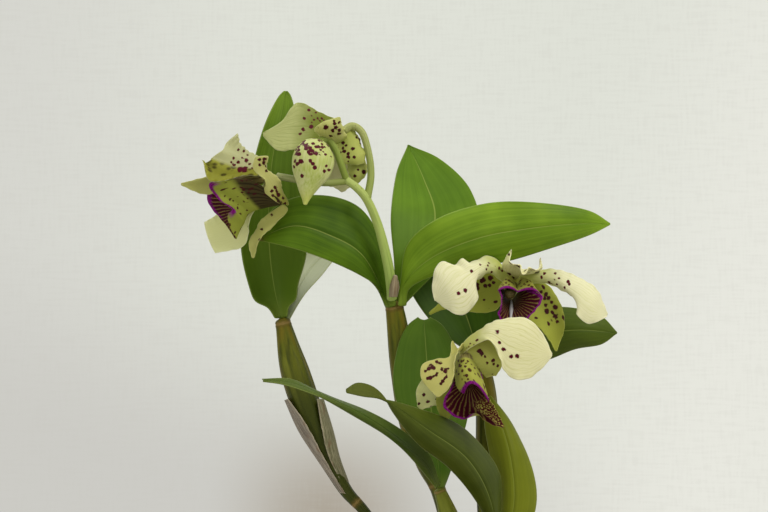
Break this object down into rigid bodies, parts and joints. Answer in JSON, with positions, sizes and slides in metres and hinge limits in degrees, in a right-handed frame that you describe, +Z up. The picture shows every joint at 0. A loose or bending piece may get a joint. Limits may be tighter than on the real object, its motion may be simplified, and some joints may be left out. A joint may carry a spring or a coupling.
{
  "type": "potted dendrobium orchid",
  "caption": "Compact hybrid dendrobium with spotted cream blooms and striped lips on leafy canes, standing in a plain clay pot of bark.",
  "frame": {"origin": "middle of the pot's flat underside", "axes": "+Z up along the pot's axis, -Y towards the front of the plant, +X to the right as seen from the front"},
  "size_m": [0.1946, 0.1785, 0.3481],
  "materials": {
    "clay": "matt fired clay",
    "bark": "rough bark chips",
    "root": "dull, spongy skin",
    "cane": "satin, striped",
    "leaf": "waxy satin",
    "dry_sheath": "dry and papery",
    "stalk": "smooth satin",
    "petal": "soft satin",
    "sepal": "soft satin, spotted",
    "lip": "velvety, striped",
    "bud": "soft satin, spotted"
  },
  "bodies": {
    "root": {"pot": "clay", "potting_mix": "bark", "rhizome_and_roots": "root", "cane_old": "cane", "cane_tall": "cane", "cane_front": "cane", "cane_right": "cane", "cane_young": "cane", "leaf_old_upright": "leaf", "leaf_old_back": "leaf", "leaf_tall_left": "leaf", "leaf_tall_upright": "leaf", "leaf_tall_right": "leaf", "leaf_front_narrow": "leaf", "leaf_front_round": "leaf", "leaf_right_broad": "leaf", "leaf_right_low": "leaf", "leaf_young_arching": "leaf", "leaf_young_upright": "leaf", "sheath_old_left": "dry_sheath", "sheath_old_right": "dry_sheath", "flower_stem_left": "stalk", "flower_stem_right": "stalk", "bract": "dry_sheath", "bloom_left_petals": "petal", "bloom_left_sepals": "sepal", "bloom_left_lip": "lip", "bloom_top_petals": "petal", "bloom_top_sepals": "sepal", "bloom_top_lip": "lip", "bloom_right_petals": "petal", "bloom_right_sepals": "sepal", "bloom_right_lip": "lip", "bloom_front_petals": "petal", "bloom_front_sepals": "sepal", "bloom_front_lip": "lip", "bud": "bud"}
  },
  "joints": []
}
